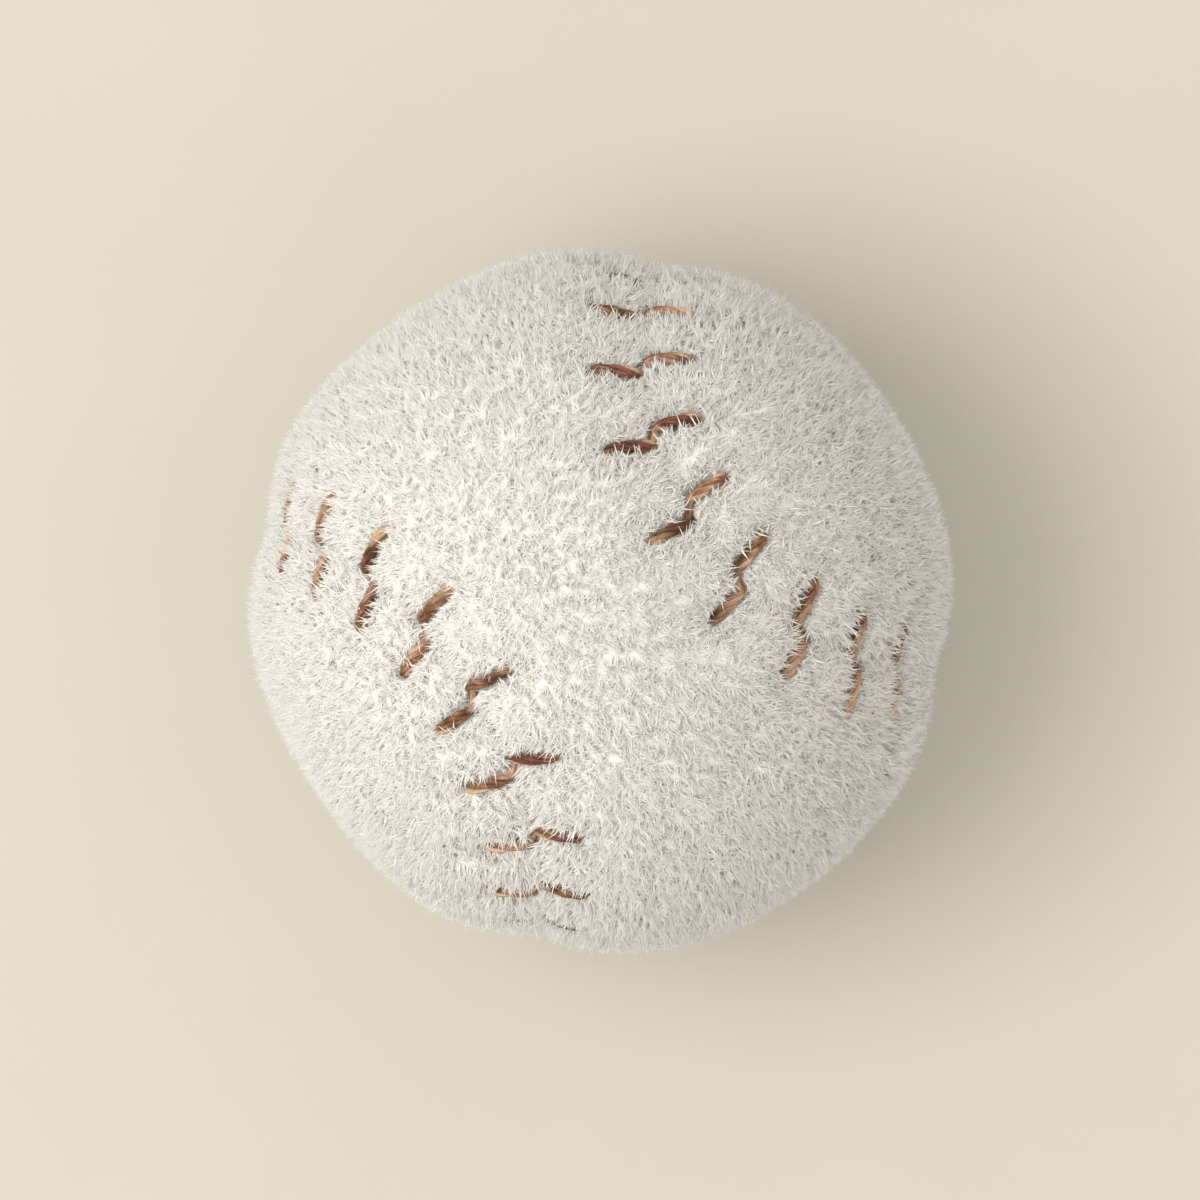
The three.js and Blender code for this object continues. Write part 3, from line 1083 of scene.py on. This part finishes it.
yarn = yarnMaterial()
twist = yarnTree()
fibre = strandTemplate("spike", stitch["fuzzLength"], stitch["fuzzWidth"])
for index, (directions, height, thickness) in enumerate(stitchWays):
    name = f"lace_stitch_{index + 1:02d}"
    radius = coverRadius(directions, seamDistance(directions)) + height
    path = curveObject(name + "_path", directions * radius[:, None] + middle, thickness)
    mesh = growMesh(path, twist, {
        "Plies": stitch["plies"],
        "Ply radius": stitch["plyRadius"],
        "Lay radius": stitch["layRadius"],
        "Pitch": stitch["pitch"],
        "Wobble": stitch["wobble"],
        "Wobbles per metre": stitch["wobblesPerMetre"],
        "Step": stitch["pathStep"],
        "Sides": stitch["sides"],
        "Fuzz": stitch["fuzzDensity"],
        "Fibre": fibre,
        "Seed": stitch["seed"] + index,
        "Material": yarn,
    })
    bpy.data.objects.remove(path)
    dropAttributes(mesh, ["tip", "spread"])
    piece = makeObject("yarn_stitch_" + name[-2:], mesh)
    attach(piece, "root")
    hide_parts(name)
    if index == 0:
        report(piece)

thread = {
    "plies": 2,
    "radius": 0.00025,
    "plyShare": 0.55,  # of that radius, and the rest is the twist's own
    "depth": 0.0025,
    "pitch": 0.0016,
    "points": 700,
    "step": 0.0006,
    "sides": 5,
}
loopOut = unit(seamPoint(np.linspace(0, 2 * math.pi, thread["points"], endpoint=False)))
loopRadius = coverRadius(loopOut, seamDistance(loopOut)) - thread["depth"]
path = curveObject("thread_path", loopOut * loopRadius[:, None] + middle, np.ones(len(loopOut)), True)
mesh = growMesh(path, twist, {
    "Plies": thread["plies"],
    "Ply radius": thread["radius"] * thread["plyShare"],
    "Lay radius": thread["radius"] * (1 - thread["plyShare"]),
    "Pitch": thread["pitch"],
    "Wobble": 0.0,
    "Step": thread["step"],
    "Sides": thread["sides"],
    "Fuzz": 0.0,
    "Fibre": fibre,
    "Seed": stitch["seed"],
    "Material": threadMaterial(),
})
bpy.data.objects.remove(path)
bpy.data.objects.remove(fibre)
dropAttributes(mesh, ["tip", "spread"])
piece = makeObject("seam_thread_twisted", mesh)
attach(piece, "root")
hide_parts("seam_thread")
report(piece)


# Filling: loose fibre that follows the lining, lumpy, grooved under the seam

filling = {
    "spacing": 0.0017,
    "depth": 0.0034,
    "floorGap": 0.0036,
    "groove": 0.0045,
    "grooveReach": 0.0022,
    "lumps": 0.0001,  # height of one wave
    "waves": 14,
    "waveCounts": (12, 34),
    "wavePhase": 6.3,
    "fill": 0.7,
    "seed": 3,
}


def fillingMesh():
    directions = evenDirections(filling["spacing"])
    distance = seamDistance(directions)
    radius = coverRadius(directions, distance) - filling["depth"]
    radius -= filling["groove"] * np.exp(-((distance / filling["grooveReach"]) ** 2))
    random = np.random.default_rng(filling["seed"])
    for wave in range(filling["waves"]):
        heading = unit(random.normal(size=3)) * random.uniform(*filling["waveCounts"])
        phase = random.uniform(0, filling["wavePhase"])
        radius -= filling["lumps"] * (1 + np.sin(directions @ heading + phase))
    points = directions * radius[:, None]
    points[:, 2] = np.maximum(points[:, 2], filling["floorGap"] - ball["height"])
    flat = flatten(directions[:-1], 1)
    laid = delaunay_2d_cdt([Vector(p) for p in flat], [], [], 0, 1e-9)
    faces = [[laid[3][corner][0] for corner in face] for face in laid[2]]
    rim = dict.fromkeys((a, b) for face in faces for a, b in zip(face, face[1:] + face[:1]))
    last = len(directions) - 1  # the pole that the flat picture can't hold
    faces += [[b, a, last] for a, b in rim if (b, a) not in rim]
    return points + middle, faces


points, faces = fillingMesh()
mesh = meshFrom("fibre_filling_ball", points, faces, fillingMaterial())
piece = makeObject("fibre_filling_ball", mesh)
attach(piece, "root")
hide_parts("fibre_filling")
report(piece)


# Floor, light and camera

studio = {
    "floorColour": paint(203, 198, 186),
    "floorShade": paint(199, 194, 182),
    "backdrop": paint(226, 221, 208),
    "floorSize": 4.0,
    "grainScale": 30,
    "turn": 11.41,  # degrees from +X to the picture's right
    "leanRight": 3.46,
    "leanUp": 0.97,
    "cameraDistance": 1.3,
    "cameraReach": 20,
    "ballShare": 0.58,  # of the picture's width
    "keyHeight": 65.0,
    "keyDistance": 0.9,
    "keySize": 0.6,
    "keyPower": 4.7,
    "keyColour": (1.0, 0.985, 0.96),
    "wallStrength": 1.75,  # the room's walls and ceiling, as soft light
    "ceilingStrength": 0.78,
    "ceilingStart": 0.7,  # height of the direction where the ceiling's strength is reached
    "roomColour": (1.0, 0.98, 0.94, 1),
}


def floorMaterial():
    material, graph = newMaterial("paleFloor")
    grain = graph.noise(objectPlace(graph), studio["grainScale"], 4)
    finishMaterial(graph, {
        "Base Color": graph.mix(grain, studio["floorShade"], studio["floorColour"]),
        "Roughness": 0.9 + grain * 0.1,
        "Specular IOR Level": 0.1,
    })
    return material


side = studio["floorSize"] / 2
corners = [(-side, -side, 0), (side, -side, 0), (side, side, 0), (-side, side, 0)]
floor = makeObject("floor", meshFrom("floor", corners, [[0, 1, 2, 3]], floorMaterial()))

turned = Matrix.Rotation(math.radians(studio["turn"]), 3, "Z")
leaned = Matrix.Rotation(math.radians(studio["leanRight"]), 3, "Y")
leaned = leaned @ Matrix.Rotation(math.radians(-studio["leanUp"]), 3, "X")
view = turned @ leaned
away = studio["cameraDistance"]
cameraData = bpy.data.cameras.new("camera")
cameraData.lens = cameraData.sensor_width * away * studio["ballShare"] / (2 * ball["radius"])
cameraData.clip_end = studio["cameraReach"]
camera = makeObject("camera", cameraData)
camera.matrix_world = Matrix.Translation(Vector(middle) + view.col[2] * away) @ view.to_4x4()
scene.camera = camera

height = math.radians(studio["keyHeight"])
toKey = turned @ Vector((-math.cos(height), 0, math.sin(height)))
keyData = bpy.data.lights.new("key", "AREA")
keyData.shape = "DISK"
keyData.size = studio["keySize"]
keyData.energy = studio["keyPower"]
keyData.color = studio["keyColour"]
key = makeObject("key", keyData)
key.matrix_world = Matrix.Translation(Vector(middle) + toKey * studio["keyDistance"]) @ (
    toKey.to_track_quat("Z", "Y").to_matrix().to_4x4()
)

world = bpy.data.worlds.new("studio")
world.use_nodes = True
world.node_tree.nodes.clear()
graph = Graph(world.node_tree)
paths = graph.add("ShaderNodeLightPath", None, None, "Is Camera Ray")
seen = graph.maths("MAXIMUM", paths, paths.other("Is Glossy Ray"))
seen = graph.maths("MAXIMUM", seen, paths.other("Is Transmission Ray"))
heading = graph.add("ShaderNodeTexCoord", None, None, "Generated")
climb = graph.add("ShaderNodeSeparateXYZ", None, {0: heading}, "Z")
soft = graph.ramp(climb, 0.0, studio["ceilingStart"], studio["wallStrength"], studio["ceilingStrength"])
fill = graph.add("ShaderNodeBackground", None, {"Color": studio["roomColour"], "Strength": soft})
backdrop = graph.add("ShaderNodeBackground", None, {"Color": studio["backdrop"], "Strength": 1.0})
both = graph.add("ShaderNodeMixShader", None, {0: seen, 1: fill, 2: backdrop})
graph.add("ShaderNodeOutputWorld", None, {"Surface": both})
scene.world = world
